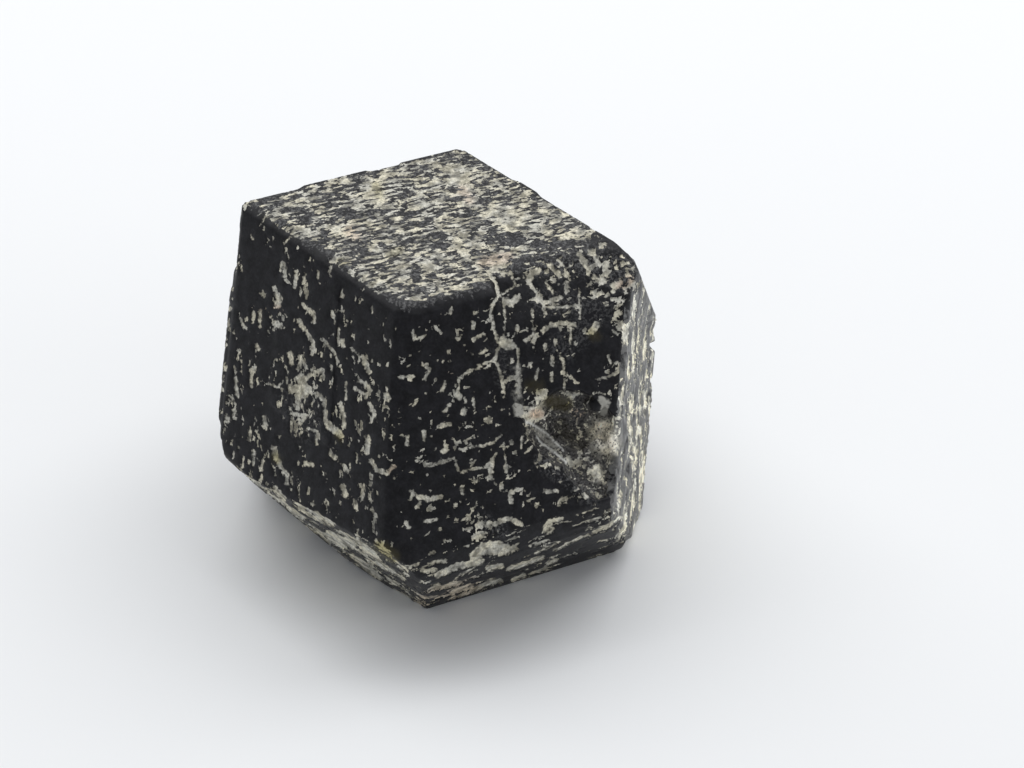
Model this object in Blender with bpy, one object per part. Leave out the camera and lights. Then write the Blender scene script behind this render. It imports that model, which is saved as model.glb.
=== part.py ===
"""A single black andradite crystal, about 3 cm across, grown as one piece.

It is a rhombic dodecahedron whose faces grew unevenly. Thin growth plates stand on its
faces and end in ledges, its edges are blunt, and a piece has broken out of its right front
face. Metres, +Z up. -Y is the front, where two faces meet in the upright front edge. The
origin is on the table, under the middle of the crystal's box.
"""

import itertools
import math
import random

import bmesh
import bpy
import numpy as np
from mathutils import Vector, noise

MM = 0.001

# The faces: degrees to the right of the front, degrees above the horizon, and millimetres
# from the crystal's centre
FACES = {
    "top": (0.0, 90.0, 12.7),
    "foot": (0.0, -90.0, 9.5),
    "front_left": (-35.4, 26.4, 14.7),
    "front_right": (34.0, 30.8, 11.1),
    "right": (90.0, 3.0, 9.4),
    "left": (-90.0, 0.0, 17.55),
    "back_left": (-145.0, 30.0, 15.0),
    "back_right": (145.4, 30.6, 10.6),
    "under_front": (-33.2, -40.8, 15.6),
    "under_left": (-41.7, -35.6, 15.8),
    "under_right": (36.3, -30.0, 12.65),
    "under_back_left": (-144.7, -30.0, 12.7),
    "under_back_right": (144.7, -30.2, 9.2),
}

# Narrow faces that cut an edge or a corner, given in the same way
CUTS = {
    "front_right_strip": (35.4, 0.0, 13.3),
    "front_left_wedge": (-28.3, -28.1, 15.5),
    "top_right_corner": (90.0, 45.0, 14.2),
    "foot_right_corner": (80.0, -45.0, 13.5),
    "left_corner": (-75.0, -15.0, 18.6),
    "back_corner": (178.0, 4.0, 15.6),
}

# Widths of the flat that blunts an edge, in millimetres
EDGE_WIDTH = 0.32
SOFT_EDGES = {
    ("top", "front_left"): 0.85,
    ("top", "front_right"): 0.95,
    ("front_left", "front_right"): 1.1,
    ("right", "back_right"): 0.9,
}

# Growth plates: the distance in millimetres of each face that shapes the plate. The other
# faces of a plate lie a little inside the crystal.
PLATE_INSET = 0.12
PLATES = {
    "front_left_plate": {"front_left": 15.0, "top": 12.25, "left": 13.9, "right": -8.6, "foot": -3.0},
    "front_left_low_plate": {"front_left": 14.88, "top": -1.6, "left": 15.2, "right": -2.5},
    "left_wide_plate": {"left": 17.75, "top": 8.6, "foot": 4.0},
    "left_narrow_plate": {"left": 17.93, "top": 6.6, "foot": 0.2},
    "back_left_plate": {"back_left": 15.25, "left": 8.5, "foot": 2.0},
    "back_left_low_plate": {"back_left": 15.3, "left": 14.5, "top": 3.5, "right": 1.0},
    "back_right_plate": {"back_right": 10.85, "left": -0.5, "top": 9.0},
    "right_high_plate": {"right": 9.6, "under_back_right": 9.4, "foot": -0.5},
    "right_middle_plate": {"right": 9.52, "under_back_right": 9.35, "top": 0.2, "foot": 1.9},
    "right_low_plate": {"right": 9.6, "under_back_right": 9.4, "top": -2.2},
    "under_right_plate": {"under_right": 12.85, "foot": 7.2, "front_right_strip": 13.25},
    "under_back_left_plate": {"under_back_left": 13.0, "left": 12.0, "foot": 6.5},
    "under_back_right_plate": {"under_back_right": 9.5, "right": 6.5, "foot": 7.5, "top": 2.0},
}

# The worn rim between the top and the right front face. It starts at the seam, which is
# measured along the rim from the point nearest to the crystal's centre.
RIM_FACE = (34.0, 69.0, 12.95)
RIM_START = -2.4
RIM_BLOCK = 30.0

# The hollow in the right front face is two chips that run into each other. Each has its
# middle across and up the face from the point nearest to the crystal's centre, then its
# radii across, up and into the face, and its turn in degrees.
CHIPS = (
    (0.7, -1.9, (3.1, 2.7, 2.0), 8.0),
    (1.7, -4.9, (1.9, 2.6, 1.25), 20.0),
)
CHIP_ROUGHNESS = 0.2
# Lumps on the hollow's floor: across, up, height of the middle above the face, then radii
LUMPS = (
    (2.9, -1.05, -0.75, (0.85, 0.85, 0.85)),
    (-0.9, -0.9, -1.5, (1.1, 0.7, 0.8)),
    (1.1, -1.0, -1.9, (1.3, 0.8, 0.8)),
    (0.1, -3.2, -1.75, (1.5, 0.9, 0.8)),
    (2.9, -3.4, -1.35, (1.1, 1.2, 0.8)),
    (1.6, -5.2, -1.2, (1.1, 1.5, 0.55)),
)
LUMP_ROUGHNESS = 0.3

GARNET_COLOUR = (0.013, 0.014, 0.017, 1.0)
GARNET_ROUGHNESS = 0.42
GARNET_IOR = 1.88
SEED = 12


def clear_scene():
    for obj in list(bpy.data.objects):
        bpy.data.objects.remove(obj, do_unlink=True)


def direction(bearing, pitch):
    bearing, pitch = math.radians(bearing), math.radians(pitch)
    return np.array(
        [
            math.sin(bearing) * math.cos(pitch),
            -math.cos(bearing) * math.cos(pitch),
            math.sin(pitch),
        ]
    )


def face_axes(face):
    """The face's outward normal, the level direction across it and the direction up it."""
    normal = direction(*face[:2])
    across = np.cross((0.0, 0.0, 1.0), normal)
    across /= np.linalg.norm(across)
    return normal, across, np.cross(normal, across)


def point_on(face, across, up, height=0.0):
    normal, along, upwards = face_axes(face)
    return normal * (face[2] + height) + along * across + upwards * up


def half_spaces(distances):
    """Normals and distances of all faces, with a flat across each edge where two meet."""
    shapes = {**FACES, **CUTS}
    normals = {name: direction(*shapes[name][:2]) for name in shapes}
    planes = [(normals[name], distances[name]) for name in shapes]
    for first, second in itertools.combinations(FACES, 2):
        together = normals[first] + normals[second]
        length = np.linalg.norm(together)
        between = 2.0 * math.acos(min(1.0, length / 2.0))
        if not 0.5 < between < 1.7:
            continue
        width = SOFT_EDGES.get((first, second), EDGE_WIDTH)
        depth = width / (2.0 * math.tan((math.pi - between) / 2.0))
        edge = (distances[first] + distances[second]) / length
        planes.append((together / length, edge - depth))
    return np.array([n for n, _ in planes]), np.array([d for _, d in planes])


def corners(normals, distances):
    """The corners of the convex solid that lies behind every plane."""
    triples = np.array(list(itertools.combinations(range(len(distances)), 3)))
    matrices = normals[triples]
    usable = np.abs(np.linalg.det(matrices)) > 1e-3
    triples, matrices = triples[usable], matrices[usable]
    points = np.linalg.solve(matrices, distances[triples][..., None])[..., 0]
    inside = (points @ normals.T <= distances + 1e-6).all(axis=1)
    return np.unique(np.round(points[inside], 4), axis=0)


def hull_object(name, points):
    """A closed convex mesh round the points, which are in millimetres."""
    mesh = bpy.data.meshes.new(name)
    bm = bmesh.new()
    for point in points:
        bm.verts.new(Vector(point) * MM)
    hull = bmesh.ops.convex_hull(bm, input=bm.verts)
    inner = set(hull["geom_interior"] + hull["geom_unused"])
    inner = [item for item in inner if isinstance(item, bmesh.types.BMVert)]
    bmesh.ops.delete(bm, geom=inner, context="VERTS")
    bmesh.ops.dissolve_limit(
        bm, angle_limit=math.radians(0.3), verts=bm.verts, edges=bm.edges
    )
    bmesh.ops.recalc_face_normals(bm, faces=bm.faces)
    bm.to_mesh(mesh)
    bm.free()
    obj = bpy.data.objects.new(name, mesh)
    bpy.context.collection.objects.link(obj)
    return obj


def grow(name, distances):
    return hull_object(name, corners(*half_spaces(distances)))


def rough_ball(centre, axes, radii, roughness, detail):
    """Points and faces of an uneven ball, for a broken surface with flat facets."""
    bm = bmesh.new()
    bmesh.ops.create_icosphere(bm, subdivisions=detail, radius=1.0)
    points = []
    for vert in bm.verts:
        wave = noise.noise(vert.co * 1.9 + Vector(centre))
        jitter = 1.0 + roughness * (wave + random.uniform(-0.5, 0.5))
        offset = sum(axis * radius * part for axis, radius, part in zip(axes, radii, vert.co))
        points.append(centre + offset * jitter)
    faces = [[v.index for v in face.verts] for face in bm.faces]
    bm.free()
    return points, faces


def mesh_object(name, points, faces):
    mesh = bpy.data.meshes.new(name)
    mesh.from_pydata([Vector(p) * MM for p in points], [], faces)
    obj = bpy.data.objects.new(name, mesh)
    bpy.context.collection.objects.link(obj)
    return obj


def combine(target, helper, operation):
    helper.hide_render = True
    helper.display_type = "WIRE"
    boolean = target.modifiers.new(helper.name, "BOOLEAN")
    boolean.operation = operation
    boolean.solver = "EXACT"
    boolean.object = helper


def add_plates(crystal, outer):
    for name, changed in PLATES.items():
        distances = {face: distance - PLATE_INSET for face, distance in outer.items()}
        distances.update(changed)
        combine(crystal, grow(name, distances), "UNION")


def wear_rim(crystal):
    """Bevels the top's front right edge, from the seam to the right corner."""
    normal, across, up = face_axes(RIM_FACE)
    block = [
        normal * (RIM_FACE[2] + height) + across * (RIM_START + side) + up * rise
        for height in (0.0, RIM_BLOCK)
        for side in (0.0, RIM_BLOCK)
        for rise in (-RIM_BLOCK, RIM_BLOCK)
    ]
    combine(crystal, hull_object("rim_cutter", block), "DIFFERENCE")


def break_hollow(crystal):
    face = FACES["front_right"]
    normal, across, up = face_axes(face)
    for number, (side, rise, radii, degrees) in enumerate(CHIPS):
        turn = math.radians(degrees)
        axes = (
            across * math.cos(turn) + up * math.sin(turn),
            up * math.cos(turn) - across * math.sin(turn),
            normal,
        )
        centre = point_on(face, side, rise)
        chip = rough_ball(centre, axes, radii, CHIP_ROUGHNESS, detail=2)
        combine(crystal, mesh_object(f"chip_{number}", *chip), "DIFFERENCE")
    for number, (side, rise, height, radii) in enumerate(LUMPS):
        centre = point_on(face, side, rise, height)
        lump = rough_ball(centre, (across, up, normal), radii, LUMP_ROUGHNESS, detail=1)
        combine(crystal, mesh_object(f"lump_{number}", *lump), "UNION")


def garnet_material():
    material = bpy.data.materials.new("black_garnet")
    material.use_nodes = True
    shader = material.node_tree.nodes["Principled BSDF"]
    shader.inputs["Base Color"].default_value = GARNET_COLOUR
    shader.inputs["Roughness"].default_value = GARNET_ROUGHNESS
    shader.inputs["Metallic"].default_value = 0.0
    shader.inputs["IOR"].default_value = GARNET_IOR
    return material


def stand_on_origin(crystal):
    """Moves every object so that the crystal's box stands on the origin."""
    bpy.context.view_layer.update()
    evaluated = crystal.evaluated_get(bpy.context.evaluated_depsgraph_get())
    spots = np.array([tuple(vert.co) for vert in evaluated.data.vertices])
    low, high = spots.min(axis=0), spots.max(axis=0)
    shift = Vector(((low[0] + high[0]) / 2, (low[1] + high[1]) / 2, low[2]))
    for obj in bpy.data.objects:
        obj.location -= shift


def main():
    random.seed(SEED)
    clear_scene()
    outer = {name: face[2] for name, face in {**FACES, **CUTS}.items()}
    crystal = grow("andradite_crystal", outer)
    crystal.data.materials.append(garnet_material())
    add_plates(crystal, outer)
    wear_rim(crystal)
    break_hollow(crystal)
    stand_on_origin(crystal)


main()
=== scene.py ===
"""The looks of a loose black andradite crystal on a pale floor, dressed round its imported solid.

The solid's faces, plates and hollow come from the frame. This script gives them their skin:
pits filled with cream matrix that follow the crystal's edge directions, seams, laminae and a
granular hollow, then the floor, the light and the camera.
"""

import math

import bpy
import numpy as np
from mathutils import Matrix, Vector


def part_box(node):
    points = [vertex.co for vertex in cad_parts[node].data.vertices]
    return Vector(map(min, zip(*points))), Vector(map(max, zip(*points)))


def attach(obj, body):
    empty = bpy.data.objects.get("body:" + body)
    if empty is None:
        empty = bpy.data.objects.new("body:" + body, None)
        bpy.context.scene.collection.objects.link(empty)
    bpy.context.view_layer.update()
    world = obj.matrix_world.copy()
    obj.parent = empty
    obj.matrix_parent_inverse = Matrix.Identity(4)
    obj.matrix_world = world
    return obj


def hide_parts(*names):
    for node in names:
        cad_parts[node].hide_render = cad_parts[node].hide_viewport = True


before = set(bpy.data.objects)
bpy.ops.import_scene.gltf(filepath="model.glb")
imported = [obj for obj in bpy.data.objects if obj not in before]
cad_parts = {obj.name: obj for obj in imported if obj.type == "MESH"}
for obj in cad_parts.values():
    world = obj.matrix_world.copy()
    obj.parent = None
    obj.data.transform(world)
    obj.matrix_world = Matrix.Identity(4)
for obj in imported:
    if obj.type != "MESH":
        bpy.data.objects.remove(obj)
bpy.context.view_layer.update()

MM = 0.001
NODE = "andradite_crystal"

# Where the crystal's growth centre lies in the frame, in millimetres
CENTRE = np.array([3.925, 1.131, 9.5])

# The crystal's faces: degrees to the right of the front, degrees above the horizon, and
# millimetres from the growth centre
FACES = {
    "top": (0.0, 90.0, 12.7),
    "foot": (0.0, -90.0, 9.5),
    "front_left": (-35.4, 26.4, 14.7),
    "front_right": (34.0, 30.8, 11.1),
    "right": (90.0, 3.0, 9.4),
    "left": (-90.0, 0.0, 17.55),
    "back_left": (-145.0, 30.0, 15.0),
    "back_right": (145.4, 30.6, 10.6),
    "under_front": (-33.2, -40.8, 15.6),
    "under_left": (-41.7, -35.6, 15.8),
    "under_right": (36.3, -30.0, 12.65),
    "under_back_left": (-144.7, -30.0, 12.7),
    "under_back_right": (144.7, -30.2, 9.2),
    "front_right_strip": (35.4, 0.0, 13.3),
    "front_left_wedge": (-28.3, -28.1, 15.5),
}
NAMES = list(FACES)

# The matrix on each face: the directions of two crystal edges in degrees from the face's
# level direction, the grain's length along each in millimetres, the share of the face that
# it covers, and how much of that comes as separate bars
MATRIX = {
    "top": (34.0, -35.4, 0.74, 0.31, 0.46, 0.0),
    "foot": (34.0, -35.4, 0.7, 0.4, 0.4, 0.0),
    "front_left": (0.0, 112.0, 0.54, 0.85, 0.05, 0.14),
    "front_right": (0.0, 75.3, 0.75, 0.6, 0.06, 0.14),
    "right": (76.0, 0.0, 2.2, 1.15, 0.5, 0.0),
    "left": (30.0, 100.0, 0.6, 1.0, 0.2, 0.2),
    "back_left": (0.0, 75.0, 0.75, 0.6, 0.15, 0.3),
    "back_right": (0.0, 110.0, 0.5, 0.9, 0.2, 0.2),
    "under_front": (0.0, 100.0, 2.4, 0.55, 0.45, 0.0),
    "under_left": (0.0, 100.0, 2.2, 1.15, 0.45, 0.0),
    "under_right": (0.0, 80.0, 2.2, 1.0, 0.13, 0.0),
    "under_back_left": (0.0, 80.0, 1.8, 0.4, 0.35, 0.0),
    "under_back_right": (0.0, 80.0, 1.6, 0.4, 0.3, 0.0),
    "front_right_strip": (0.0, 80.0, 2.2, 0.3, 0.1, 0.0),
    "front_left_wedge": (0.0, 80.0, 2.3, 1.25, 0.52, 0.0),
}
BAR_SIZE = 0.72

# How dull and grey the garnet itself is, on the faces where it isn't fresh and in the hollow. The
# same value also brightens the matrix there as painted light, most on the right face, which faces
# the light.
DULL_AND_LIT = {"right": 1.0, "under_right": 0.05, "under_left": 0.15, "front_left_wedge": 0.15}
DULL_AND_LIT_IN_HOLLOW = 0.12

# How strongly faint flecks show in the dark garnet, on two faces and on all the others. On the top
# face this grey is also a painted sheen.
DUST_AND_SHEEN = {"top": 0.75, "right": 0.6}
DUST_ELSEWHERE = 0.04

# Where dust gathers in places: half width, strength and points, in pixels of the view
DUSTY = (
    (15, 0.75, (530, 262), (600, 260), (632, 278)),
    (14, 0.45, (545, 300), (600, 310), (560, 350)),
    (10, 0.8, (545, 462), (572, 478), (590, 495)),
    (7, 0.7, (488, 524), (500, 530)),
    (10, 0.35, (500, 350), (505, 380)),
    (16, 0.25, (290, 400), (310, 430)),
)

# The rounded edge to the right of the seam: a plane that cuts it, where it starts along the
# edge and over what length it fades in, how far from the growth centre the front right
# face's own grain begins, and how much that border slants
WORN_RIM = (34.0, 52.0, 12.22)
WORN_RIM_START = -2.7
WORN_RIM_FADE = 0.9
WORN_RIM_GRAIN = 4.0
WORN_RIM_SLANT = 0.12

# Two planes, by bearing, height and distance: one blunts the back right corner, and past the
# other the corner over the right side has the front right face's grain
BLUNT_CORNER = (135.0, 10.0, 10.95)
RIGHT_CORNER = (90.0, 45.0, 13.2)

# How much of the front left face's low ledge is worn away, its greatest height, and how far
# under the face its step begins
LEDGE_WEAR = 0.85
LEDGE_HEIGHT = 0.5
LEDGE_STEP = 0.06

# The broken hollow, in millimetres: its grain, the depth of its rim, a little above which the
# broken surface takes over, the depth from which a point counts with the front right face,
# its top over the growth centre and its reach to either side. The last value is the share of
# it that scattered matrix covers.
HOLLOW_GRAIN = 0.34
HOLLOW_DEPTH = 0.45
HOLLOW_INSIDE = 0.35
HOLLOW_TOP = 7.5
HOLLOW_REACH = 8.0
HOLLOW_COVER = 0.24

# The fine mesh: the size of its faces in millimetres, and the most triangles it keeps
VOXEL = 0.115
MOST_TRIANGLES = 196000

# Relief in millimetres: how far the skin stands off the solid, and further in the hollow, the
# depth of a pit and of a long layer, the height of the broad swell and of the fine grit, and
# how much more grit the hollow has. A face whose grain is longer than LONG_GRAIN is layered.
SKIN_LIFT = 0.1
HOLLOW_LIFT = 0.12
PIT_DEPTH = 0.055
LAYER_DEPTH = 0.09
LONG_GRAIN = 1.5
SWELL = 0.04
GRIT = 0.015
HOLLOW_GRIT = 0.5

# The matrix pattern: how far its edges wobble and its lines bend, the steps that they are
# drawn towards and how strongly, how much the flecks cluster, and the share of the surface
# below which none is scattered
WOBBLE = 0.5
BEND = 1.5
FLECK_STEP, FLECK_HARDNESS = 0.3, 0.72
BAR_STEP, BAR_HARDNESS = 0.2, 0.3
CLUSTER = 0.42
LEAST_COVER = 0.015

# Colours of the garnet, its dust and painted sheen, the matrix, the pale sheet in the hollow and a
# painted reflection, painted glints, the floor and the sky
GARNET = (0.006, 0.006, 0.0075, 1.0)
GARNET_PALE = (0.014, 0.014, 0.017, 1.0)
GARNET_BROKEN = (0.10, 0.095, 0.09, 1.0)
# grey of dust, and on the top face a painted sheen
GARNET_DUST_AND_SHEEN = (0.13, 0.13, 0.13, 1.0)
GARNET_WORN = (0.19, 0.19, 0.185, 1.0)
GARNET_OLIVE = (0.09, 0.075, 0.025, 1.0)
CREAM_GREY = (0.45, 0.44, 0.39, 1.0)
CREAM_WARM = (0.52, 0.49, 0.39, 1.0)
CREAM_PINK = (0.48, 0.34, 0.25, 1.0)
CREAM_OLIVE = (0.36, 0.32, 0.15, 1.0)
# The pale sheet, also used for the painted reflection on the knob's glossy side
SHEET_AND_REFLECTION = (0.42, 0.41, 0.37, 1.0)
# painted glints along the edges of the hollow's sheet
SHEET_EDGE_GLINT = (0.78, 0.78, 0.74, 1.0)
PAPER = (0.82, 0.83, 0.84, 1.0)
DAYLIGHT = (0.95, 0.97, 1.0, 1.0)

# Finish, with the height of the bumps in millimetres
GARNET_IOR = 1.28
GARNET_ROUGHNESS = 0.44
MATRIX_ROUGHNESS = 0.9
PAPER_ROUGHNESS = 0.9
BUMP_HEIGHT = 0.05

# Light panels: place and size in millimetres, and watts. Then the strength of the sky.
OVERHEAD = ((-60, 315, 540), (1500, 450), 5.9)
RIGHT_FILL = ((620, -60, 260), (400, 300), 0.45)
DAYLIGHT_STRENGTH = 0.41

# Half the floor's width, in millimetres
FLOOR_HALF_WIDTH = 900

# Camera: degrees to the right of the front and above the horizon, millimetres from the
# point looked at, that point, turn about the view axis, and lens on a 36 mm sensor
CAMERA_BEARING = 12.23
CAMERA_HEIGHT = 38.71
CAMERA_DISTANCE = 218.3
CAMERA_TARGET = np.array([0.76, 0.17, 0.01])
CAMERA_ROLL = -0.21
CAMERA_LENS = 112.5
SENSOR = 36.0
IMAGE = (1024, 768)
MM_A_PIXEL = CAMERA_DISTANCE / (CAMERA_LENS / SENSOR * IMAGE[0])

# How many pixels outside its border a mark is still worked out
MARK_MARGIN = 12

# Seams and larger patches of matrix: half width and the points that each
# runs through, in pixels of the photographed view
# The last three strokes of the first group are painted highlights on the dark glassy lump in the
# hollow, not matrix.
MARKS = {
    "seam_and_lump_glints": (
        (1.8, (488, 272), (497, 285), (499, 295), (494, 302), (490, 313), (492, 323), (498, 342)),
        (1.2, (504, 296), (506, 312), (505, 325), (503, 337)),
        (1.2, (499, 296), (508, 290), (516, 285), (510, 272)),
        (5.5, (503, 342), (510, 345)),
        (3.5, (507, 300), (514, 301), (519, 296)),
        (1.5, (512, 344), (518, 348), (518, 362), (518, 375)),
        (1.7, (500, 345), (496, 353), (495, 361), (499, 369), (502, 381), (503, 392)),
        # painted highlights: a bright point and two small glints on the dark glassy lump
        (1.7, (504, 397), (505, 397)),
        (0.8, (500, 410), (503, 409)),
        (0.7, (509, 408), (510, 415)),
    ),
    "side_veins": (
        (1.5, (494, 360), (481, 365), (471, 370), (459, 378), (458, 394)),
        (1.4, (469, 447), (481, 446), (495, 442), (501, 434)),
        (1.5, (427, 467), (454, 458), (459, 472), (485, 467), (492, 460), (496, 454)),
        (2.6, (492, 460), (490, 478)),
        (0.9, (503, 443), (506, 468)),
        (2.2, (506, 466), (506, 471)),
    ),
    "right_block_bars": (
        (2.0, (451, 309), (451, 313)),
        (1.8, (435, 326), (440, 333)),
        (1.5, (413, 331), (414, 340), (425, 336)),
        (2.1, (457, 339), (461, 336)),
        (2.2, (473, 323), (473, 329)),
        (2.0, (473, 340), (483, 334)),
        (1.8, (480, 353), (486, 350)),
        (1.6, (422, 364), (430, 369), (425, 379)),
        (1.6, (400, 377), (413, 376)),
        (3.6, (457, 394), (459, 397)),
        (1.7, (449, 405), (444, 413)),
        (2.7, (463, 413), (465, 409)),
        (1.8, (445, 382), (442, 391)),
        (2.4, (439, 426), (450, 424)),
        (1.8, (407, 436), (407, 445)),
        (2.1, (424, 431), (424, 440)),
        (2.7, (443, 451), (446, 450)),
        (1.4, (473, 398), (474, 411)),
        (2.8, (419, 497), (430, 499), (440, 497)),
        (2.4, (417, 507), (420, 503)),
        (2.4, (406, 523), (408, 526)),
        (1.7, (424, 522), (437, 519)),
        (2.0, (462, 487), (462, 493)),
        (2.4, (511, 502), (510, 492), (521, 489)),
        (2.1, (544, 491), (557, 491)),
        (2.0, (559, 505), (561, 499), (567, 498)),
        (2.2, (511, 441), (511, 443)),
        (1.3, (522, 435), (521, 448)),
        (1.5, (525, 452), (529, 450)),
    ),
    "right_frame": (
        (2.6, (545, 301), (555, 298), (562, 295)),
        (1.8, (545, 305), (567, 306), (580, 304)),
        (1.4, (581, 287), (580, 304), (580, 318)),
        (1.8, (545, 306), (546, 315)),
        (2.6, (543, 331), (551, 325), (562, 323), (574, 325)),
        (1.4, (571, 328), (570, 343)),
        (1.4, (533, 307), (533, 322), (533, 347)),
        (2.0, (525, 340), (531, 337)),
        (2.4, (517, 326), (517, 330)),
        (2.0, (555, 340), (555, 345)),
        (2.6, (545, 345), (545, 347)),
        (2.2, (552, 357), (552, 364)),
        (1.4, (560, 356), (564, 362), (564, 374), (564, 387)),
        (1.8, (551, 373), (552, 380)),
        (1.6, (537, 370), (536, 380)),
        (2.2, (570, 376), (572, 378)),
        (3.6, (592, 331), (597, 324)),
        (1.8, (613, 330), (617, 334)),
        (1.5, (608, 356), (612, 366), (617, 362)),
        (1.9, (597, 379), (606, 377), (616, 373)),
        (1.4, (546, 281), (555, 291)),
        (2.4, (568, 281), (569, 290)),
    ),
    "worn_rim": (
        (3.2, (529, 279), (533, 272), (539, 271)),
        (2.0, (530, 282), (537, 290)),
        (2.4, (549, 266), (555, 270), (560, 275)),
        (1.8, (558, 260), (563, 266)),
        (3.2, (582, 259), (587, 265)),
        (2.4, (589, 251), (594, 256), (601, 264)),
        (2.0, (594, 275), (604, 280)),
        (2.4, (613, 283), (623, 280), (614, 290)),
    ),
    "low_right": (
        (2.4, (495, 524), (508, 518), (521, 524)),
        (2.2, (544, 528), (550, 521), (562, 518)),
        (3.6, (546, 531), (551, 529)),
        (5.0, (474, 557), (484, 547), (498, 545), (508, 549)),
        (3.0, (484, 551), (500, 553), (515, 548)),
        (2.0, (430, 553), (434, 551)),
        (1.8, (429, 563), (446, 560)),
        (2.3, (422, 570), (436, 570)),
        (3.4, (437, 575), (456, 566), (481, 561)),
        (1.0, (449, 585), (459, 575), (484, 562)),
        (3.0, (488, 568), (501, 565)),
        (2.5, (508, 569), (525, 563), (542, 557)),
        (1.8, (547, 563), (556, 560)),
        (1.6, (530, 545), (548, 540)),
        (1.3, (535, 553), (555, 543)),
        (1.4, (554, 550), (569, 542), (588, 534)),
        (1.7, (594, 531), (611, 523), (620, 517)),
        (2.6, (472, 590), (490, 582), (500, 580)),
        (2.4, (513, 579), (524, 575)),
    ),
    "left_middle": (
        (4.6, (298, 378), (301, 385), (303, 394)),
        (2.6, (303, 379), (310, 373), (320, 371)),
        (2.8, (297, 396), (295, 408)),
        (2.2, (290, 414), (304, 416), (297, 425), (296, 431)),
        (1.6, (306, 429), (315, 432), (317, 444)),
        (2.2, (316, 394), (322, 400), (323, 417), (326, 427)),
        (4.0, (328, 426), (338, 432), (341, 435)),
        (2.4, (345, 426), (343, 411), (341, 403)),
        (1.2, (346, 400), (347, 383)),
        (2.2, (296, 320), (304, 332), (311, 343), (310, 354)),
        (1.8, (320, 339), (328, 348), (335, 355), (338, 362)),
        (1.2, (352, 348), (362, 359)),
        (2.6, (363, 357), (366, 364), (370, 372)),
        (2.2, (359, 381), (366, 383), (371, 391), (366, 397)),
        (1.6, (355, 388), (364, 394)),
        (1.8, (370, 403), (375, 413), (372, 421)),
        (3.4, (387, 395), (388, 398)),
        (2.8, (368, 437), (368, 452)),
        (2.4, (372, 461), (377, 470), (387, 473), (394, 467)),
        (1.6, (339, 328), (339, 345)),
        (2.2, (343, 340), (344, 346)),
        (2.2, (343, 464), (348, 471)),
        (3.0, (343, 486), (346, 496)),
        (2.4, (332, 454), (336, 458)),
        (2.4, (306, 463), (313, 465)),
    ),
    "left_low": (
        (2.8, (274, 448), (277, 458), (281, 466)),
        (2.0, (281, 466), (288, 475), (287, 484)),
        (1.7, (254, 451), (254, 464)),
        (1.7, (263, 461), (262, 470)),
        (1.6, (262, 476), (261, 481)),
        (2.4, (265, 417), (266, 428)),
        (1.6, (251, 430), (250, 440)),
        (1.9, (227, 415), (228, 422)),
        (1.4, (234, 410), (235, 417)),
        (2.0, (236, 378), (238, 396)),
        (1.6, (252, 373), (252, 387)),
        (2.4, (257, 346), (260, 349)),
        (2.6, (288, 353), (289, 364)),
        (1.8, (298, 356), (298, 368)),
        (2.8, (275, 323), (279, 327)),
        (1.1, (268, 383), (275, 388), (281, 381)),
        (1.8, (241, 319), (246, 328)),
        (1.6, (261, 310), (260, 326)),
        (1.6, (254, 312), (254, 322)),
        (2.2, (301, 305), (311, 313), (312, 322)),
        (2.0, (364, 486), (363, 500)),
        (1.6, (372, 508), (377, 517)),
        (2.0, (355, 500), (357, 509)),
    ),
    "left_crest": (
        (2.8, (275, 488), (280, 494), (284, 499)),
        (2.0, (315, 511), (323, 518), (333, 525)),
        (3.6, (329, 533), (341, 539), (353, 545)),
        (2.6, (357, 541), (366, 547), (373, 553)),
        (1.6, (377, 541), (384, 549), (392, 556)),
        (1.5, (398, 566), (409, 567), (418, 563)),
        (2.2, (383, 566), (394, 571)),
        (2.4, (352, 555), (364, 566), (380, 579)),
        (1.6, (395, 590), (410, 597)),
    ),
    "left_high": (
        (1.6, (282, 263), (283, 277)),
        (1.9, (294, 271), (293, 287)),
        (1.5, (303, 274), (301, 284)),
        (1.2, (316, 271), (316, 279)),
        (1.4, (331, 267), (330, 276)),
        (1.2, (284, 243), (291, 238), (302, 234)),
        (2.2, (275, 288), (278, 298), (277, 306)),
        (2.2, (262, 292), (265, 296)),
        (1.2, (267, 215), (262, 224)),
        (1.0, (252, 234), (253, 239)),
        (1.6, (331, 262), (341, 256)),
    ),
    "top_patches": (
        (2.6, (440, 167), (455, 172), (462, 180)),
        (2.2, (488, 212), (500, 216), (514, 222)),
        (2.0, (530, 229), (542, 231)),
        (2.0, (482, 262), (493, 263)),
        (2.0, (384, 255), (398, 252)),
        (2.4, (560, 239), (573, 235)),
        (2.2, (455, 240), (461, 252), (472, 262)),
        (2.2, (436, 222), (446, 214)),
        (2.2, (496, 180), (504, 190)),
        (2.0, (560, 209), (574, 217)),
        (2.2, (285, 204), (292, 206)),
        (0.8, (429, 281), (446, 291)),
    ),
    "right_side": (
        (1.8, (644, 392), (645, 408)),
        (1.4, (649, 397), (649, 424)),
        (1.5, (634, 480), (633, 508)),
        (1.3, (640, 478), (639, 500)),
        (1.4, (632, 396), (631, 412)),
        (2.0, (628, 372), (629, 377)),
        (1.2, (637, 420), (636, 446)),
    ),
    "hollow_streaks": (
        (2.2, (524, 408), (536, 408)),
        (2.6, (538, 419), (543, 412)),
        (2.6, (571, 463), (580, 462)),
        (3.0, (598, 467), (598, 477), (592, 472)),
        (2.2, (568, 393), (573, 399)),
        (1.0, (587, 403), (590, 396), (597, 392), (604, 394)),
    ),
}

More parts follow.
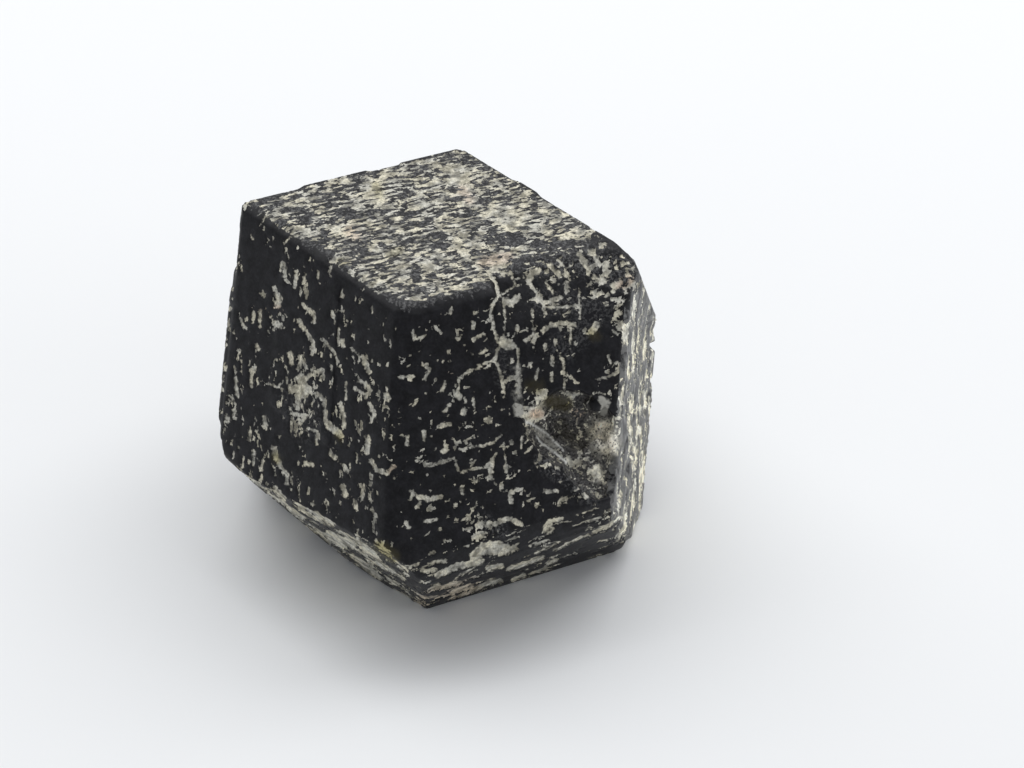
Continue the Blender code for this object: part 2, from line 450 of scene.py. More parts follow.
# Where the scattered matrix thins out or gathers: the share covered, half width, and points
COVER_SPOTS = (
    (0.0, 9, (384, 302), (410, 312), (450, 303), (492, 291)),
    (0.03, 8, (402, 320), (398, 400), (396, 480), (398, 550)),
    (0.0, 17, (254, 238), (262, 278), (245, 292)),
    (0.0, 11, (291, 247), (323, 260)),
    (0.25, 7, (616, 448), (618, 500), (614, 520)),
    (0.15, 5, (624, 300), (623, 340), (620, 380), (618, 445)),
    (0.05, 4, (290, 503), (300, 513)),
    (0.05, 4, (347, 558), (372, 580)),
    (0.0, 6, (403, 572), (414, 579)),
    (0.3, 11, (634, 284), (642, 325)),
    (0.02, 10, (360, 315), (370, 340)),
    (0.22, 12, (262, 205), (290, 202)),
    (0.1, 6, (535, 246), (570, 248), (600, 244)),
    (0.12, 6, (492, 240), (520, 238)),
    (0.3, 10, (310, 215), (340, 200)),
    (0.0, 14, (590, 358), (602, 350)),
    (0.0, 13, (600, 404), (602, 408)),
    (0.0, 11, (545, 485), (560, 482)),
    (0.02, 14, (490, 500), (470, 500)),
    (0.02, 12, (420, 535), (440, 540)),
    (0.5, 12, (475, 522), (480, 530)),
    (0.78, 9, (440, 166), (458, 176), (468, 200)),
    (0.8, 9, (490, 212), (512, 220), (536, 230)),
    (0.8, 7, (478, 262), (494, 262), (512, 254)),
    (0.75, 6, (374, 185), (380, 195)),
    (0.7, 6, (338, 228), (360, 232)),
    (0.75, 5, (378, 257), (400, 251)),
    (0.7, 4, (455, 238), (462, 252), (474, 262)),
    (0.02, 9, (256, 232), (290, 250), (322, 268), (352, 288)),
    (0.6, 6, (270, 497), (300, 515)),
    (0.4, 7, (270, 448), (280, 468), (288, 484)),
    (0.7, 8, (335, 540), (370, 560), (400, 575)),
    (0.55, 8, (415, 600), (440, 590), (465, 588)),
    (0.3, 12, (600, 270), (625, 300), (622, 330)),
    (0.17, 15, (522, 268), (570, 268), (612, 272)),
    (0.3, 14, (300, 420), (300, 380)),
    (0.42, 9, (540, 402), (530, 414)),
    (0.08, 12, (562, 426), (578, 438)),
    (0.06, 8, (552, 402), (562, 406)),
    (0.0, 8, (503, 406), (505, 418)),
    (0.4, 12, (600, 427), (604, 444)),
    (0.25, 7, (594, 466), (602, 478)),
    (0.3, 8, (574, 464), (590, 490)),
    (0.22, 9, (545, 462), (562, 474)),
)

# Where the outline swells or is nicked: reach, pixels to the right and up, and points
NUDGES = (
    (14, 3.5, 0.5, (634, 262), (642, 282), (650, 305), (653, 318)),
    (5, -5.0, 0.0, (653, 344), (653, 347)),
    (8, -4.0, 1.0, (630, 543), (624, 560)),
    (8, 0.0, 2.5, (305, 188), (365, 174)),
    (8, 0.0, 2.5, (518, 184), (535, 195)),
    (6, -2.5, 0.0, (238, 215), (237, 225)),
    (6, -2.5, 0.0, (230, 290), (230, 300)),
)

# Colours that stain the matrix or the garnet, and some painted light in the hollow: half width,
# strength and points
STAINS = {
    "pink": (
        (6, 0.4, (484, 262), (508, 257)),
        (5, 0.35, (462, 190), (470, 200)),
        (6, 0.35, (350, 231), (356, 236)),
        (5, 0.6, (534, 414), (541, 414)),
        (4, 0.5, (578, 414), (581, 420)),
        (10, 0.12, (600, 428), (606, 446)),
        (4, 0.6, (576, 412), (583, 417)),
        (5, 0.5, (628, 280), (622, 284)),
        (4, 0.5, (392, 471), (396, 466)),
        (10, 0.3, (470, 586), (425, 600)),
        (4, 0.4, (298, 312), (254, 305)),
        (4, 0.4, (451, 375), (455, 370)),
    ),
    "olive": (
        (7, 0.9, (552, 402), (566, 405)),
        (8, 0.25, (562, 428), (578, 444)),
        (6, 0.5, (530, 385), (538, 388)),
        (5, 0.45, (376, 186), (380, 194)),
        (5, 0.35, (390, 254), (398, 251)),
        (6, 0.8, (380, 546), (394, 556)),
        (4, 0.6, (338, 433), (341, 437)),
        (4, 0.6, (276, 455), (278, 460)),
        (5, 0.6, (592, 333), (597, 336)),
        (4, 0.4, (340, 262), (345, 262)),
    ),
    "haze_and_reflection": (
        (4.0, 0.85, (518, 398), (519, 413)),
        (3.0, 0.5, (518, 366), (518, 396)),
        (5.0, 0.4, (539, 431), (556, 446)),
        # painted reflection: the grey glossy patch on the right of the dark knob
        (3.8, 0.95, (602, 400), (605, 405), (603, 412)),
    ),
    # painted glints: thin bright lines along the sheet's edges
    "glint": (
        (0.8, 0.9, (523, 420), (537, 427), (547, 433), (556, 443), (564, 451)),
        (0.9, 1.0, (537, 437), (541, 442), (546, 446), (556, 453), (568, 463)),
    ),
    # grainy matrix, also brightened there as painted light on the mass in the hollow's shade
    "grainy_and_lit": (
        (13, 1.0, (601, 430), (605, 444)),
        (6, 0.6, (532, 416), (540, 408)),
        (5, 0.7, (598, 470), (598, 478)),
    ),
}


def direction(bearing, pitch):
    bearing, pitch = math.radians(bearing), math.radians(pitch)
    return np.array(
        [
            math.sin(bearing) * math.cos(pitch),
            -math.cos(bearing) * math.cos(pitch),
            math.sin(pitch),
        ]
    )


NORMALS = np.array([direction(*face[:2]) for face in FACES.values()])
DISTANCES = np.array([face[2] for face in FACES.values()])


def face_axes(normal):
    """The face's level direction, and the one up it. A level face takes the frame's x and y."""
    if abs(normal[2]) > 0.999:
        return np.array([1.0, 0.0, 0.0]), np.array([0.0, 1.0, 0.0])
    across = np.cross([0.0, 0.0, 1.0], normal)
    across /= np.linalg.norm(across)
    return across, np.cross(normal, across)


def smoothstep(low, high, value):
    t = np.clip((value - low) / (high - low), 0.0, 1.0)
    return t * t * (3.0 - 2.0 * t)


def camera_axes():
    """The camera's place, and its right, up and backward directions, from the growth centre."""
    back = direction(CAMERA_BEARING, CAMERA_HEIGHT)
    turn = math.radians(CAMERA_BEARING)
    right = np.array([math.cos(turn), math.sin(turn), 0.0])
    up = np.cross(back, right)
    roll = math.radians(CAMERA_ROLL)
    right, up = (
        right * math.cos(roll) + up * math.sin(roll),
        up * math.cos(roll) - right * math.sin(roll),
    )
    return CAMERA_TARGET + back * CAMERA_DISTANCE, right, up, back


def in_view(points):
    """Where each point is seen, in pixels."""
    place, right, up, back = camera_axes()
    ray = points - place
    depth = -(ray @ back)
    focal = CAMERA_LENS / SENSOR * IMAGE[0]
    x = IMAGE[0] / 2 + focal * (ray @ right) / depth
    y = IMAGE[1] / 2 - focal * (ray @ up) / depth
    return np.stack([x, y], axis=1)


def faces_camera(points, ids):
    """True where the crystal face under a point is turned towards the camera."""
    ray = camera_axes()[0] - points
    return np.einsum("ij,ij->i", NORMALS[ids], ray) > 0.0


def distance_to_line(seen, line):
    """Pixels from each seen point to a line through several points."""
    line = np.array(line, float)
    nearest = np.full(len(seen), 1e9)
    for start, end in zip(line[:-1], line[1:]):
        along = end - start
        part = np.clip((seen - start) @ along / (along @ along), 0.0, 1.0)
        gap = np.linalg.norm(seen - start - part[:, None] * along, axis=1)
        nearest = np.minimum(nearest, gap)
    return nearest


def near_line(seen, line, reach):
    """The points close enough to a line to matter, to keep the work short."""
    line = np.array(line, float)
    low, high = line.min(axis=0) - reach, line.max(axis=0) + reach
    return np.flatnonzero(((seen > low) & (seen < high)).all(axis=1))


def marks_at(points, ids):
    """Millimetres inside the nearest mark's border, and less than 0 outside."""
    field = np.full(len(points), -1.0)
    shown = np.flatnonzero(faces_camera(points, ids))
    seen = in_view(points[shown])
    for strokes in MARKS.values():
        for width, *line in strokes:
            close = near_line(seen, line, width + MARK_MARGIN)
            inside = (width - distance_to_line(seen[close], line)) * MM_A_PIXEL
            field[shown[close]] = np.maximum(field[shown[close]], inside)
    return field


def cover_at(points, ids):
    """The share of the surface that scattered matrix covers round each point."""
    cover = np.array([MATRIX[name][4] for name in NAMES])[ids]
    hollow = hollow_at(points, ids)
    cover = cover * (1.0 - hollow) + HOLLOW_COVER * hollow
    shown = np.flatnonzero(faces_camera(points, ids))
    seen = in_view(points[shown])
    for share, width, *line in COVER_SPOTS:
        close = near_line(seen, line, width * 1.5)
        weight = smoothstep(1.4, 0.7, distance_to_line(seen[close], line) / width)
        where = shown[close]
        cover[where] = cover[where] * (1.0 - weight) + share * weight
    return cover


def stain_at(points, ids, strokes):
    weight = np.zeros(len(points))
    shown = np.flatnonzero(faces_camera(points, ids))
    seen = in_view(points[shown])
    for width, strength, *line in strokes:
        close = near_line(seen, line, width * 1.6)
        here = strength * smoothstep(1.5, 0.4, distance_to_line(seen[close], line) / width)
        weight[shown[close]] = np.maximum(weight[shown[close]], here)
    return weight


def heights_over_faces(points):
    return points @ NORMALS.T - DISTANCES


def face_ids(points):
    """The face that each point lies on.

    The worn rim, the blunt right corner and the hollow count with the front right face.
    """
    heights = heights_over_faces(points)
    ids = heights.argmax(axis=1)
    top, front = NAMES.index("top"), NAMES.index("front_right")
    across = face_axes(NORMALS[front])[0]
    out = points @ direction(WORN_RIM[0], 0.0) + WORN_RIM_SLANT * (points @ across)
    rim = (ids == top) & (out > WORN_RIM_GRAIN) & (points @ across > WORN_RIM_START)
    corner = points @ direction(*RIGHT_CORNER[:2]) > RIGHT_CORNER[2]
    deep = (heights.max(axis=1) < -HOLLOW_INSIDE) & (out > WORN_RIM_GRAIN)
    deep &= points[:, 2] < HOLLOW_TOP
    return np.where(rim | corner | deep, front, ids)


def worn_at(points, ids):
    """How far the worn rim, the flat ledge and the blunt corner are moved in, as vectors."""
    bearing, pitch, distance = WORN_RIM
    normal = direction(bearing, pitch)
    across = face_axes(NORMALS[NAMES.index("front_right")])[0]
    weight = smoothstep(WORN_RIM_START, WORN_RIM_START + WORN_RIM_FADE, points @ across)
    rim = np.clip(points @ normal - distance, 0.0, None) * weight
    left = NAMES.index("front_left")
    ledge = np.clip(heights_over_faces(points)[:, left], 0.0, LEDGE_HEIGHT)
    ledge = ledge * (ids == left) * LEDGE_WEAR
    blunt = direction(*BLUNT_CORNER[:2])
    back = np.clip(points @ blunt - BLUNT_CORNER[2], 0.0, None)
    return -normal * rim[:, None] - NORMALS[left] * ledge[:, None] - blunt * back[:, None]


def ledge_normals(points, ids, normals):
    """The normals, with those on the flat ledge and its step turned to face forwards."""
    left = NAMES.index("front_left")
    flat = (ids == left) & (heights_over_faces(points)[:, left] > -LEDGE_STEP)
    return np.where(flat[:, None], NORMALS[left], normals)


def nudged(points):
    """How far the surface near the outline is pushed across the view, as vectors."""
    right, up = camera_axes()[1:3]
    seen = in_view(points)
    move = np.zeros_like(points)
    for reach, to_right, upwards, *line in NUDGES:
        close = near_line(seen, line, reach)
        weight = smoothstep(1.0, 0.0, distance_to_line(seen[close], line) / reach)
        move[close] += weight[:, None] * (right * to_right + up * upwards) * MM_A_PIXEL
    return move


def hollow_at(points, ids):
    """1 on the broken surface inside the hollow, 0 on the crystal's own faces."""
    height = heights_over_faces(points).max(axis=1)
    front = np.isin(ids, [NAMES.index("front_right"), NAMES.index("front_right_strip")])
    across = face_axes(NORMALS[NAMES.index("front_right")])[0]
    near = (np.abs(points @ across) < HOLLOW_REACH) & (points[:, 2] < HOLLOW_TOP)
    return smoothstep(-HOLLOW_DEPTH * 0.6, -HOLLOW_DEPTH * 0.8, height) * front * near


def grain_at(points, ids):
    """Each point in its face's own grain, which runs along the crystal's edges."""
    grain = np.empty_like(points)
    for index, name in enumerate(NAMES):
        here = ids == index
        first, second, first_size, second_size = MATRIX[name][:4]
        first, second = math.radians(first), math.radians(second)
        axes = np.array([[math.cos(first), math.cos(second)], [math.sin(first), math.sin(second)]])
        on_face = points[here] @ np.array(face_axes(NORMALS[index])).T
        steps = on_face @ np.linalg.inv(axes).T
        grain[here, 0] = steps[:, 0] / first_size
        grain[here, 1] = steps[:, 1] / second_size
        grain[here, 2] = 7.3 * index
    hollow = hollow_at(points, ids)[:, None]
    return grain * (1.0 - hollow) + points / HOLLOW_GRAIN * hollow


class Net:
    """Adds nodes to a shader tree or a geometry tree, which share these node kinds."""

    def __init__(self, tree):
        self.tree = tree

    def node(self, kind, *values, **settings):
        node = self.tree.nodes.new(kind)
        for name, value in settings.items():
            setattr(node, name, value)
        for socket, value in enumerate(values):
            self.put(node.inputs[socket], value)
        return node

    def put(self, socket, value):
        if value is None:
            return
        if isinstance(value, bpy.types.NodeSocket):
            self.tree.links.new(value, socket)
        else:
            socket.default_value = value

    def math(self, operation, a, b=None, c=None, clamp=False):
        node = self.node("ShaderNodeMath", a, b, c, operation=operation, use_clamp=clamp)
        return node.outputs[0]

    def vector(self, operation, a, b=None):
        node = self.node("ShaderNodeVectorMath", operation=operation)
        self.put(node.inputs[0], a)
        self.put(node.inputs["Scale" if operation == "SCALE" else 1], b)
        return node.outputs["Value" if operation in ("DOT_PRODUCT", "LENGTH") else "Vector"]

    def noise(self, vector, scale, detail=2.0, roughness=0.5, colour=False):
        node = self.node("ShaderNodeTexNoise")
        self.put(node.inputs["Vector"], vector)
        node.inputs["Scale"].default_value = scale
        node.inputs["Detail"].default_value = detail
        node.inputs["Roughness"].default_value = roughness
        return node.outputs["Color" if colour else 0]

    def ramp(self, value, low, high, to_low=0.0, to_high=1.0, smooth=True):
        node = self.node("ShaderNodeMapRange", value, low, high, to_low, to_high)
        node.interpolation_type = "SMOOTHSTEP" if smooth else "LINEAR"
        return node.outputs[0]

    def mix(self, factor, first, second):
        """A colour between two, which may be plain colours or sockets."""
        node = self.node("ShaderNodeMix", data_type="RGBA", blend_type="MIX")
        self.put(node.inputs["Factor"], factor)
        self.put(node.inputs["A"], first)
        self.put(node.inputs["B"], second)
        return node.outputs["Result"]


def stepped(net, grain, rest, step, hardness):
    """The grain with its edges roughened and drawn towards a grid of small steps."""
    wobble = net.vector("SUBTRACT", net.noise(rest, 3.4, 2.0, 0.6, colour=True), (0.5, 0.5, 0.5))
    bend = net.vector("SUBTRACT", net.noise(rest, 0.7, 2.0, 0.5, colour=True), (0.5, 0.5, 0.5))
    place = net.vector("ADD", grain, net.vector("SCALE", wobble, WOBBLE))
    place = net.vector("ADD", place, net.vector("SCALE", bend, BEND))
    grid = net.vector("SNAP", place, (step, step, step))
    shift = net.vector("SCALE", net.vector("SUBTRACT", grid, place), hardness)
    return net.vector("ADD", place, shift)


def matrix_noise(net, grain, rest):
    """The noise whose higher parts are matrix, in loose clusters."""
    place = stepped(net, grain, rest, FLECK_STEP, FLECK_HARDNESS)
    fine = net.noise(place, 1.0, 2.6, 0.58)
    return net.math("MULTIPLY_ADD", net.noise(rest, 0.75, 2.0, 0.6), CLUSTER, fine)


def bar_field(net, grain, rest, bars):
    """More than 0 on separate bars and squares of matrix."""
    place = stepped(net, grain, rest, BAR_STEP, BAR_HARDNESS)
    place = net.vector("SCALE", place, 1.0 / BAR_SIZE)
    node = net.node("ShaderNodeTexVoronoi", distance="CHEBYCHEV")
    net.put(node.inputs["Vector"], place)
    node.inputs["Scale"].default_value = 1.0
    chance = net.vector("DOT_PRODUCT", node.outputs["Color"], (1.0, 0.0, 0.0))
    size = net.vector("DOT_PRODUCT", node.outputs["Color"], (0.0, 0.26, 0.0))
    size = net.math("ADD", size, 0.1)
    kept = net.math("LESS_THAN", chance, bars)
    inside = net.math("SUBTRACT", size, node.outputs["Distance"])
    return net.math("SUBTRACT", inside, net.math("SUBTRACT", 1.0, kept))


def mark_field(net, mark, rest):
    """The listed marks with roughened borders."""
    rough = net.math("SUBTRACT", net.noise(rest, 3.2, 3.0, 0.65), 0.5)
    return net.math("MULTIPLY_ADD", rough, 0.42, mark)


def mesh_values(kind, count, items):
    values = np.empty(len(items) * count)
    items.foreach_get(kind, values)
    return values.reshape(-1, count) if count > 1 else values


def set_points(mesh, points):
    mesh.vertices.foreach_set("co", points.astype(np.float32).ravel())
    mesh.update()


def store(mesh, name, values, domain="POINT"):
    """Keeps a number or a vector at each vertex or corner."""
    values = np.asarray(values, np.float32)
    kind = "FLOAT_VECTOR" if values.ndim == 2 else "FLOAT"
    layer = mesh.attributes.new(name, kind, domain)
    layer.data.foreach_set("vector" if values.ndim == 2 else "value", values.ravel())


def evaluated_mesh(obj):
    """A new mesh with the object's modifiers in it."""
    bpy.context.view_layer.update()
    graph = bpy.context.evaluated_depsgraph_get()
    return bpy.data.meshes.new_from_object(obj.evaluated_get(graph), depsgraph=graph)


def apply_modifiers(obj):
    mesh = evaluated_mesh(obj)
    obj.modifiers.clear()
    obj.data = mesh


def fine_copy(source):
    """A closed mesh of even small faces with the solid's shape."""
    obj = bpy.data.objects.new("crystal_skin", source.data.copy())
    bpy.context.scene.collection.objects.link(obj)
    remesh = obj.modifiers.new("fine", "REMESH")
    remesh.mode = "VOXEL"
    remesh.voxel_size = VOXEL * MM
    apply_modifiers(obj)
    return obj


def measure_pattern(obj):
    """Stores the pattern that the material draws at each vertex, for the relief to follow."""
    tree = bpy.data.node_groups.new("measure_pattern", "GeometryNodeTree")
    tree.interface.new_socket("Geometry", in_out="INPUT", socket_type="NodeSocketGeometry")
    tree.interface.new_socket("Geometry", in_out="OUTPUT", socket_type="NodeSocketGeometry")
    net = Net(tree)
    geometry = net.node("NodeGroupInput").outputs[0]
    kind = "GeometryNodeInputNamedAttribute"
    rest = net.node(kind, "rest", data_type="FLOAT_VECTOR").outputs[0]
    grain = net.node(kind, "grain", data_type="FLOAT_VECTOR").outputs[0]
    bars = net.node(kind, "bars").outputs[0]
    mark = net.node(kind, "mark").outputs[0]
    found = {
        "noise": matrix_noise(net, grain, rest),
        "bar": bar_field(net, grain, rest, bars),
        "rough_mark": mark_field(net, mark, rest),
        "swell": net.noise(rest, 0.55, 3.0, 0.55),
        "grit": net.noise(rest, 3.0, 3.0, 0.7),
    }
    for name, value in found.items():
        node = net.node("GeometryNodeStoreNamedAttribute", data_type="FLOAT", domain="POINT")
        net.put(node.inputs["Geometry"], geometry)
        net.put(node.inputs["Name"], name)
        net.put(node.inputs["Value"], value)
        geometry = node.outputs[0]
    net.put(net.node("NodeGroupOutput").inputs[0], geometry)
    obj.modifiers.new("measure", "NODES").node_group = tree
    apply_modifiers(obj)
    layers = obj.data.attributes
    return {name: mesh_values("value", 1, layers[name].data) for name in found}


class Threshold:
    """How high the noise must be on each face for matrix to cover a given share of it."""

    def __init__(self, noise, ids):
        shares = np.linspace(0.0, 1.0, 201)
        whole = np.quantile(noise, shares)
        self.shares = shares
        self.tables = [
            np.quantile(noise[ids == index], shares) if (ids == index).sum() > 500 else whole
            for index in range(len(NAMES))
        ]

    def at(self, cover, ids):
        level = np.empty(len(cover))
        for index, table in enumerate(self.tables):
            here = ids == index
            level[here] = np.interp(1.0 - cover[here], self.shares, table)
        return np.where(cover < LEAST_COVER, 1.0, level)


def bars_at(cover, ids):
    """The chance that a bar is present, less where the matrix is thin."""
    chance = np.array([MATRIX[name][5] for name in NAMES])[ids]
    usual = np.array([MATRIX[name][4] for name in NAMES])[ids]
    return chance * np.clip(cover / usual, 0.0, 1.6)


def relief(found, level, hollow, ids):
    """How far each vertex moves along its normal, in millimetres."""
    scattered = smoothstep(-0.01, 0.02, found["noise"] - level)
    bar = smoothstep(-0.05, 0.05, found["bar"])
    marked = smoothstep(-0.05, 0.08, found["rough_mark"])
    pits = np.maximum(np.maximum(scattered, bar), marked)
    layered = np.isin(ids, [NAMES.index(n) for n in NAMES if MATRIX[n][2] > LONG_GRAIN])
    depth = np.where(layered, LAYER_DEPTH, PIT_DEPTH) * (1.0 - 0.4 * hollow)
    lift = SKIN_LIFT + HOLLOW_LIFT * hollow
    grit = (GRIT + HOLLOW_GRIT * hollow) * found["grit"]
    return lift - depth * pits - SWELL * found["swell"] - grit


def keep_inside(mesh):
    """Moves no vertex past the solid's box or below the floor."""
    low, high = (np.array(corner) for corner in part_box(NODE))
    points = mesh_values("co", 3, mesh.vertices)
    set_points(mesh, np.clip(points, low, high))


def thin_out(obj):
    """Fewer triangles where the surface is flat."""
    triangles = sum(len(face.vertices) - 2 for face in obj.data.polygons)
    if triangles > MOST_TRIANGLES:
        thin = obj.modifiers.new("thin", "DECIMATE")
        thin.ratio = MOST_TRIANGLES / triangles
        apply_modifiers(obj)


def store_pattern(mesh, threshold):
    """Stores what the material needs at each corner, so that the grain turns at each edge."""
    rest = mesh_values("vector", 3, mesh.attributes["rest"].data)
    corner_vertices = mesh_values("vertex_index", 1, mesh.loops).astype(int)
    sizes = mesh_values("loop_total", 1, mesh.polygons).astype(int)
    middles = mesh_values("center", 3, mesh.polygons) / MM - CENTRE
    ids = np.repeat(face_ids(middles), sizes)
    corners = rest[corner_vertices]
    cover = cover_at(corners, ids)
    hollow = hollow_at(corners, ids)
    store(mesh, "grain", grain_at(corners, ids), "CORNER")
    store(mesh, "level", threshold.at(cover, ids), "CORNER")
    store(mesh, "bars", bars_at(cover, ids) * (1.0 - hollow), "CORNER")
    store(mesh, "mark", marks_at(corners, ids), "CORNER")
    store(mesh, "hollow", hollow, "CORNER")
    # dullness of the garnet, and painted light that brightens the matrix
    dull_and_lit = np.array([DULL_AND_LIT.get(name, 0.0) for name in NAMES])[ids]
    store(mesh, "dull_and_lit", np.maximum(dull_and_lit, DULL_AND_LIT_IN_HOLLOW * hollow), "CORNER")
    # faint flecks, and on the top face a painted sheen
    dust_and_sheen = np.array([DUST_AND_SHEEN.get(name, DUST_ELSEWHERE) for name in NAMES])[ids]
    store(mesh, "dust_and_sheen", np.maximum(dust_and_sheen, stain_at(corners, ids, DUSTY)), "CORNER")
    for name, strokes in STAINS.items():
        store(mesh, name, stain_at(corners, ids, strokes), "CORNER")


def make_skin():
    obj = fine_copy(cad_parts[NODE])
    points = mesh_values("co", 3, obj.data.vertices) / MM - CENTRE
    ids = face_ids(points)
    cover = cover_at(points, ids)
    hollow = hollow_at(points, ids)
    store(obj.data, "rest", points)
    store(obj.data, "grain", grain_at(points, ids))
    store(obj.data, "bars", bars_at(cover, ids) * (1.0 - hollow))
    store(obj.data, "mark", marks_at(points, ids))
    found = measure_pattern(obj)
    threshold = Threshold(found["noise"], ids)
    normals = mesh_values("vector", 3, obj.data.vertex_normals)
    normals = ledge_normals(points, ids, normals)
    move = relief(found, threshold.at(cover, ids), hollow, ids)
    moved = points + worn_at(points, ids) + nudged(points)
    moved += normals * move[:, None]
    set_points(obj.data, (moved + CENTRE) * MM)
    for name in ("grain", "bars", "mark", *found):
        obj.data.attributes.remove(obj.data.attributes[name])
    thin_out(obj)
    keep_inside(obj.data)
    store_pattern(obj.data, threshold)
    obj.data.shade_smooth()
    return obj


def attribute(net, name, socket="Fac"):
    return net.node("ShaderNodeAttribute", attribute_name=name).outputs[socket]


def matrix_mask(net, rest, grain, scattered, speckle):
    """1 where cream matrix shows and 0 on garnet."""
    bar = bar_field(net, grain, rest, attribute(net, "bars"))
    marked = mark_field(net, attribute(net, "mark"), rest)
    mask = net.math("MAXIMUM", net.ramp(scattered, -0.006, 0.02), net.ramp(bar, -0.03, 0.07))
    mask = net.math("MAXIMUM", mask, net.ramp(marked, -0.03, 0.07))
    grains = net.math("MULTIPLY", attribute(net, "grainy_and_lit"), net.ramp(speckle, 0.37, 0.49))
    return net.math("MAXIMUM", mask, grains)


def cream_colour(net, rest, speckle):
    """The matrix, from grey to warm cream and stained in places, with painted light: brighter on
    the dull faces, most on the right face that faces the light, and where it is grainy in the
    shaded hollow.
    """
    tone = net.noise(rest, 0.7, 3.0, 0.6)
    cream = net.mix(net.ramp(tone, 0.38, 0.62), CREAM_GREY, CREAM_WARM)
    cream = net.mix(attribute(net, "pink"), cream, CREAM_PINK)
    cream = net.mix(attribute(net, "olive"), cream, CREAM_OLIVE)
    shade = net.ramp(speckle, 0.3, 0.62, 0.55, 1.15, smooth=False)
    patchy = net.ramp(net.noise(rest, 1.6, 2.0, 0.6), 0.33, 0.66, 0.5, 1.4)
    # painted light: brighter matrix on the dull faces, most on the right face, and on the grainy
    # mass in the shaded hollow
    painted_light = net.math("MULTIPLY_ADD", attribute(net, "dull_and_lit"), 0.75, 1.0)
    painted_light = net.math("MULTIPLY_ADD", attribute(net, "grainy_and_lit"), 0.6, painted_light)
    shade = net.math("MULTIPLY", shade, painted_light)
    return net.vector("SCALE", cream, net.math("MULTIPLY", shade, patchy))


def garnet_colour(net, rest, scattered, speckle):
    """The garnet: near black, and greyer where it is broken, dusty or worn; on the top face the
    dusty grey is also a painted sheen.
    """
    uneven = net.ramp(net.noise(rest, 1.3, 4.0, 0.6), 0.35, 0.7)
    dark = net.mix(uneven, GARNET, GARNET_PALE)
    broken = net.math("MULTIPLY", attribute(net, "hollow"), net.ramp(speckle, 0.38, 0.6))
    dark = net.mix(broken, dark, GARNET_BROKEN)
    # dust mottling, which on the top face is also a painted sheen
    dust_and_sheen_mottle = net.ramp(net.noise(rest, 5.0, 3.0, 0.7), 0.46, 0.62)
    dark = net.mix(net.math("MULTIPLY", attribute(net, "dust_and_sheen"), dust_and_sheen_mottle), dark, GARNET_DUST_AND_SHEEN)
    worn = net.math("MULTIPLY", attribute(net, "dull_and_lit"), net.ramp(scattered, -0.18, -0.02))
    dark = net.mix(worn, dark, GARNET_WORN)
    return net.mix(net.math("MULTIPLY", attribute(net, "olive"), 0.5), dark, GARNET_OLIVE)


def with_sheet_and_painted_light(net, rest, colour):
    """The colour with the hollow's pale sheet over it, which also paints a reflection on the knob,
    and painted glints along the sheet's bright edges.
    """
    streaky = net.ramp(net.noise(rest, 4.5, 3.0, 0.6), 0.3, 0.6, 0.45, 1.0)
    sheet_and_reflection = net.ramp(net.math("MULTIPLY", attribute(net, "haze_and_reflection"), streaky), 0.08, 0.55)
    # the sheet, and the painted reflection on the knob
    colour = net.mix(sheet_and_reflection, colour, SHEET_AND_REFLECTION)
    # painted glints along the sheet's edges
    return net.mix(attribute(net, "glint"), colour, SHEET_EDGE_GLINT)


def surface_bump(net, rest, mask):
    """Fine grit, and shallow pits under the matrix, as a shading normal."""
    fine = net.noise(rest, 11.0, 3.0, 0.65)
    height = net.math("MULTIPLY_ADD", fine, 0.5, net.math("MULTIPLY", mask, -0.7))
    bump = net.node("ShaderNodeBump")
    bump.inputs["Strength"].default_value = 0.5
    bump.inputs["Distance"].default_value = BUMP_HEIGHT * MM
    net.put(bump.inputs["Height"], height)
    return bump.outputs[0]


def garnet_material():
    material = bpy.data.materials.new("garnet_with_matrix")
    material.use_nodes = True
    tree = material.node_tree
    tree.nodes.clear()
    net = Net(tree)
    rest, grain = attribute(net, "rest", "Vector"), attribute(net, "grain", "Vector")
    scattered = net.math("SUBTRACT", matrix_noise(net, grain, rest), attribute(net, "level"))
    speckle = net.noise(rest, 7.0, 3.0, 0.7)
    mask = matrix_mask(net, rest, grain, scattered, speckle)
    dark = garnet_colour(net, rest, scattered, speckle)
    colour = net.mix(mask, dark, cream_colour(net, rest, speckle))
    rough = net.ramp(mask, 0.0, 1.0, GARNET_ROUGHNESS, MATRIX_ROUGHNESS, smooth=False)
    shader = net.node("ShaderNodeBsdfPrincipled")
    net.put(shader.inputs["Base Color"], with_sheet_and_painted_light(net, rest, colour))
    net.put(shader.inputs["Roughness"], rough)
    net.put(shader.inputs["Normal"], surface_bump(net, rest, mask))
    shader.inputs["IOR"].default_value = GARNET_IOR
    output = net.node("ShaderNodeOutputMaterial")
    net.put(output.inputs["Surface"], shader.outputs[0])
    return material


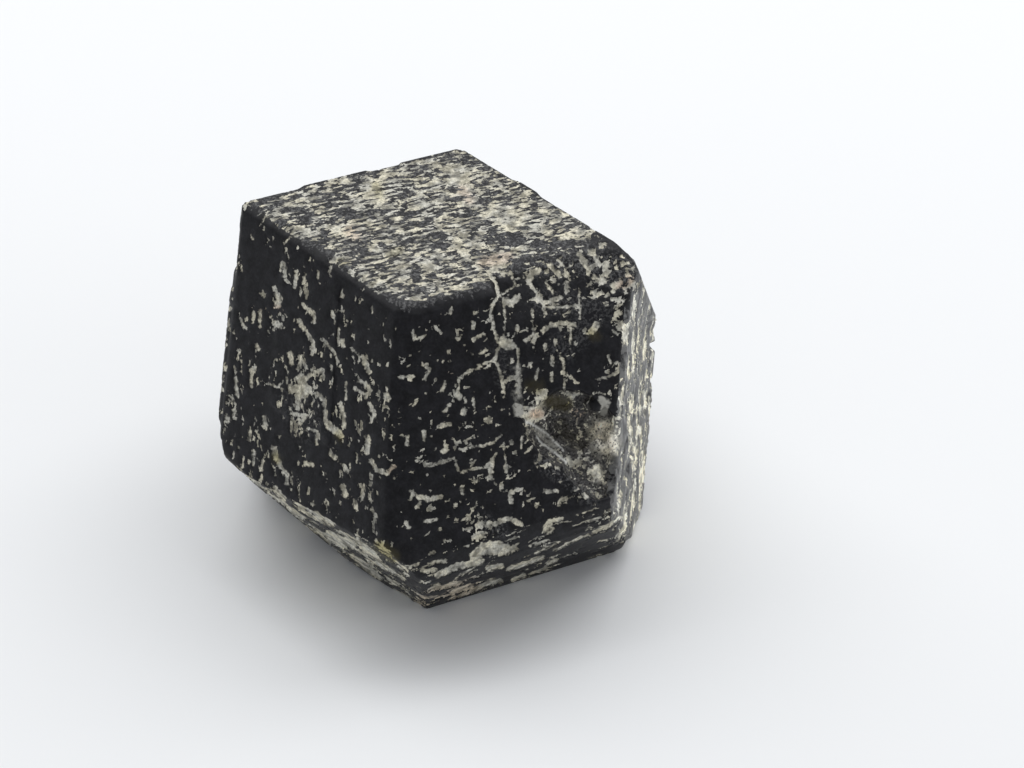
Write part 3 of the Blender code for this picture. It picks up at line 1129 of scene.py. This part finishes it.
def plain_material(name, colour, roughness):
    material = bpy.data.materials.new(name)
    material.use_nodes = True
    shader = material.node_tree.nodes["Principled BSDF"]
    shader.inputs["Base Color"].default_value = colour
    shader.inputs["Roughness"].default_value = roughness
    shader.inputs["Specular IOR Level"].default_value = 0.2
    return material


def make_floor():
    size = FLOOR_HALF_WIDTH * MM
    mesh = bpy.data.meshes.new("floor")
    corners = [(-size, -size, 0.0), (size, -size, 0.0), (size, size, 0.0), (-size, size, 0.0)]
    mesh.from_pydata(corners, [], [(0, 1, 2, 3)])
    floor = bpy.data.objects.new("floor", mesh)
    bpy.context.scene.collection.objects.link(floor)
    floor.data.materials.append(plain_material("floor_paper", PAPER, PAPER_ROUGHNESS))


def area_light(name, place_mm, size_mm, power, glossy=True):
    """A soft panel that faces the crystal."""
    light = bpy.data.lights.new(name, "AREA")
    light.shape = "RECTANGLE"
    light.size, light.size_y = (side * MM for side in size_mm)
    light.energy = power
    obj = bpy.data.objects.new(name, light)
    obj.visible_glossy = glossy
    obj.location = Vector(place_mm) * MM
    obj.rotation_euler = (-obj.location).to_track_quat("-Z", "Y").to_euler()
    bpy.context.scene.collection.objects.link(obj)


def make_light():
    world = bpy.data.worlds.new("studio")
    bpy.context.scene.world = world
    world.use_nodes = True
    background = world.node_tree.nodes["Background"]
    background.inputs["Color"].default_value = DAYLIGHT
    background.inputs["Strength"].default_value = DAYLIGHT_STRENGTH
    area_light("overhead", *OVERHEAD)
    area_light("right_fill", *RIGHT_FILL, glossy=False)
    bpy.context.scene.view_settings.view_transform = "Standard"


def make_camera():
    place, right, up, back = camera_axes()
    place = (place + CENTRE) * MM
    data = bpy.data.cameras.new("camera")
    data.lens = CAMERA_LENS
    data.sensor_width = SENSOR
    data.clip_start = 0.01
    camera = bpy.data.objects.new("camera", data)
    rows = [[right[i], up[i], back[i], place[i]] for i in range(3)]
    camera.matrix_world = Matrix([*rows, [0.0, 0.0, 0.0, 1.0]])
    bpy.context.scene.collection.objects.link(camera)
    bpy.context.scene.camera = camera


make_camera()
make_light()
make_floor()
skin = make_skin()
skin.data.materials.clear()
skin.data.materials.append(garnet_material())
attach(skin, "root")
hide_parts(NODE)
